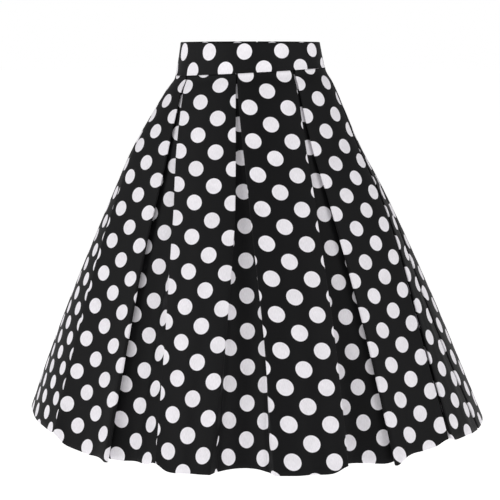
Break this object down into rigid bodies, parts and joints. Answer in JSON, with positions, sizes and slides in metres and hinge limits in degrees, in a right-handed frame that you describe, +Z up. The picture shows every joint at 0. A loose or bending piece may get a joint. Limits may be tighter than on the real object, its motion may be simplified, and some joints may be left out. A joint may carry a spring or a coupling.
{
  "type": "a-line midi skirt",
  "caption": "Worn-form a-line midi skirt of polka-dot cloth with a plain waistband, inverted box pleats that open toward the hem and a concealed centre-back zip.",
  "frame": {"origin": "centre of the waistband's top edge, where the wearer's waist holds the skirt", "axes": "+Z up along the wearer, -Y toward the skirt's centre front, +X toward the wearer's left"},
  "size_m": [0.825, 0.665, 0.6861],
  "materials": {
    "cloth": "black woven cotton with white polka dots, slight sheen",
    "zip_tape": "black woven tape",
    "zip_metal": "black lacquered metal"
  },
  "bodies": {
    "skirt": {"skirt_front": "cloth", "skirt_back_left": "cloth", "skirt_back_right": "cloth", "waistband_front": "cloth", "waistband_back_left": "cloth", "waistband_back_right": "cloth", "zip_tape": "zip_tape", "zip_slider": "zip_metal"},
    "pull_tab": {"zip_pull_tab": "zip_metal"}
  },
  "joints": [
    {"name": "pull_tab_swing", "type": "hinge", "parent": "skirt", "child": "pull_tab", "pos_m": [0, 0.09678, -0.005], "axis": [1, 0, 0], "range_deg": [0, 150]}
  ]
}
